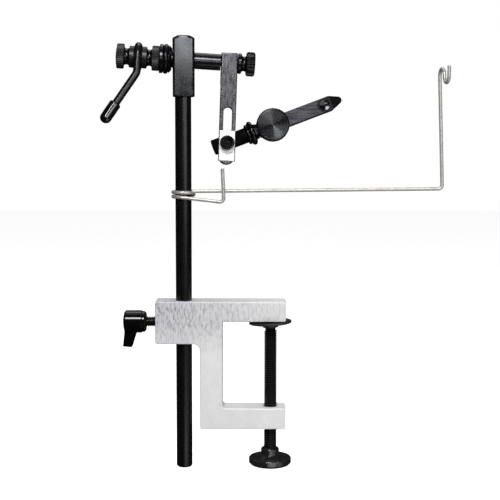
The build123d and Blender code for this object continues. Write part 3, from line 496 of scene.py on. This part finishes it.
def dress(node):
    """Copy of a CAD node with small round edges and its finish."""
    finish, edge = FINISH[node]
    work = merged_copy(node)
    if node in TURNED:
        map_rings(work, *joint_line(TURNED[node]))
    else:
        bmesh.ops.dissolve_limit(work, angle_limit=FLAT_ANGLE, verts=work.verts, edges=work.edges)
    obj = new_piece(node + "_dressed", work, finish, node)
    if edge:
        rounding = obj.modifiers.new("edges", "BEVEL")
        rounding.width = edge * MM
        rounding.segments = EDGE_SEGMENTS
        rounding.limit_method = "ANGLE"
        rounding.angle_limit = SHARP_ANGLE
        weighted = obj.modifiers.new("flat faces", "WEIGHTED_NORMAL")
        weighted.keep_sharp = True


def threaded_rod(node, finish, along, pitch):
    """Rod with one helical thread, along one of the axes X, Y and Z, in a screw's own box."""
    low, high = (Vector(corner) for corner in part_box(node))
    start = (low + high) / 2
    start[along] = low[along]
    length = high[along] - low[along]
    radius = (high[2 - along] - low[2 - along]) / 2
    depth = pitch * THREAD_DEPTH_SHARE
    crest = pitch * THREAD_CREST_SHARE / 2
    root = radius - depth
    core = root + depth * CORE_RISE
    foot = root - depth * ROOT_SINK
    work = bmesh.new()
    bmesh.ops.create_cone(work, cap_ends=True, segments=THREAD_STEPS, radius1=core, radius2=core, depth=length)
    bmesh.ops.translate(work, verts=work.verts, vec=(0, 0, length / 2))
    turns = int(length / pitch) - 1
    profile = [(foot, 0), (radius, pitch / 2 - crest), (radius, pitch / 2 + crest), (foot, pitch)]
    ring = [work.verts.new((across, 0, rise)) for across, rise in profile]
    section = work.faces.new(ring)
    bmesh.ops.spin(
        work, geom=[section, *section.edges, *ring], cent=(0, 0, 0), axis=(0, 0, 1),
        dvec=(0, 0, pitch / THREAD_STEPS), angle=2 * math.pi * turns, steps=THREAD_STEPS * turns,
        use_merge=False)
    bmesh.ops.recalc_face_normals(work, faces=work.faces)
    axis = Vector([float(way == along) for way in range(3)])
    turn = Vector((0, 0, 1)).rotation_difference(axis).to_matrix().to_4x4()
    bmesh.ops.transform(work, matrix=Matrix.Translation(start) @ turn, verts=work.verts)
    new_piece(node + "_threaded", work, finish, node)


for piece in FINISH:
    dress(piece)
threaded_rod("clamp_screw", CLAMP_THREAD, 2, CLAMP_PITCH)
threaded_rod("lock_screw", LOCK_THREAD, 0, LOCK_PITCH)


def surround_strength(tree, seen=SURROUND_SEEN):
    """White for the camera, dimmer for reflections and for the fill on the object."""
    path = tree.nodes.new("ShaderNodeLightPath")
    total = None
    for ray, strength in (
        ("Is Camera Ray", seen), ("Is Transmission Ray", seen),
        ("Is Glossy Ray", SURROUND_GLOSS), ("Is Diffuse Ray", SURROUND_FILL),
    ):
        part = tree.nodes.new("ShaderNodeMath")
        part.operation = "MULTIPLY_ADD"
        part.inputs[1].default_value = strength
        part.inputs[2].default_value = 0.0
        tree.links.new(path.outputs[ray], part.inputs[0])
        if total:
            tree.links.new(total, part.inputs[2])
        total = part.outputs["Value"]
    return total


def white_surround():
    """World that is white behind the vise."""
    world = bpy.data.worlds.new("white surround")
    scene.world = world
    world.use_nodes = True
    tree = world.node_tree
    backdrop = tree.nodes["Background"]
    backdrop.inputs["Color"].default_value = (1, 1, 1, 1)
    tree.links.new(surround_strength(tree), backdrop.inputs["Strength"])


def pale_floor():
    """Plain white floor below the vise, which hangs on its clamp."""
    material = bpy.data.materials.new("white floor")
    material.use_nodes = True
    tree = material.node_tree
    tree.nodes.remove(tree.nodes["Principled BSDF"])
    glow = tree.nodes.new("ShaderNodeEmission")
    tree.links.new(surround_strength(tree, FLOOR_SEEN), glow.inputs["Strength"])
    shown = tree.nodes.new("ShaderNodeMath")
    shown.operation = "MULTIPLY"
    shown.inputs[1].default_value = FLOOR_WHITE
    tree.links.new(tree.nodes.new("ShaderNodeLightPath").outputs["Is Camera Ray"], shown.inputs[0])
    matt = tree.nodes.new("ShaderNodeBsdfDiffuse")
    tree.links.new(shown.outputs["Value"], matt.inputs["Color"])
    both = tree.nodes.new("ShaderNodeAddShader")
    tree.links.new(glow.outputs["Emission"], both.inputs[0])
    tree.links.new(matt.outputs["BSDF"], both.inputs[1])
    tree.links.new(both.outputs["Shader"], tree.nodes["Material Output"].inputs["Surface"])
    work = bmesh.new()
    bmesh.ops.create_grid(work, x_segments=1, y_segments=1, size=FLOOR_SIZE / 2)
    bmesh.ops.translate(work, verts=work.verts, vec=(0, 0, cad_bounds[0][2] - FLOOR_DROP))
    mesh = bpy.data.meshes.new("floor")
    work.to_mesh(mesh)
    work.free()
    mesh.materials.append(material)
    floor = bpy.data.objects.new("floor", mesh)
    scene.collection.objects.link(floor)


def softbox(name, place, target, width, height, radiance):
    """Rectangular lamp of a given brightness, turned to a point."""
    lamp = bpy.data.lights.new(name, "AREA")
    lamp.shape = "RECTANGLE"
    lamp.size, lamp.size_y = width, height
    lamp.energy = radiance * math.pi * width * height
    obj = bpy.data.objects.new(name, lamp)
    obj.location = place
    obj.rotation_euler = (Vector(target) - Vector(place)).to_track_quat("-Z", "Y").to_euler()
    obj.visible_camera = False
    scene.collection.objects.link(obj)
    return obj


def light_studio():
    """Lamps in front for faces and streaks, above for the clamp, and low cards for the knob and screw."""
    for lamp in LAMPS:
        softbox(*lamp)
    softbox(*OVERHEAD).visible_glossy = False


def set_camera():
    """Camera at the photograph's viewing angle."""
    lens = bpy.data.cameras.new("camera")
    lens.lens = CAMERA_LENS
    lens.sensor_width = SENSOR_WIDTH
    lens.shift_x = CAMERA_SHIFT
    lens.clip_start = CLIP_START
    eye = bpy.data.objects.new("camera", lens)
    eye.location = CAMERA_PLACE
    upright = Matrix.Rotation(math.radians(90) - CAMERA_TILT, 3, "X")
    eye.rotation_euler = (upright @ Matrix.Rotation(CAMERA_ROLL, 3, "Z")).to_euler()
    scene.collection.objects.link(eye)
    scene.camera = eye


white_surround()
pale_floor()
light_studio()
set_camera()
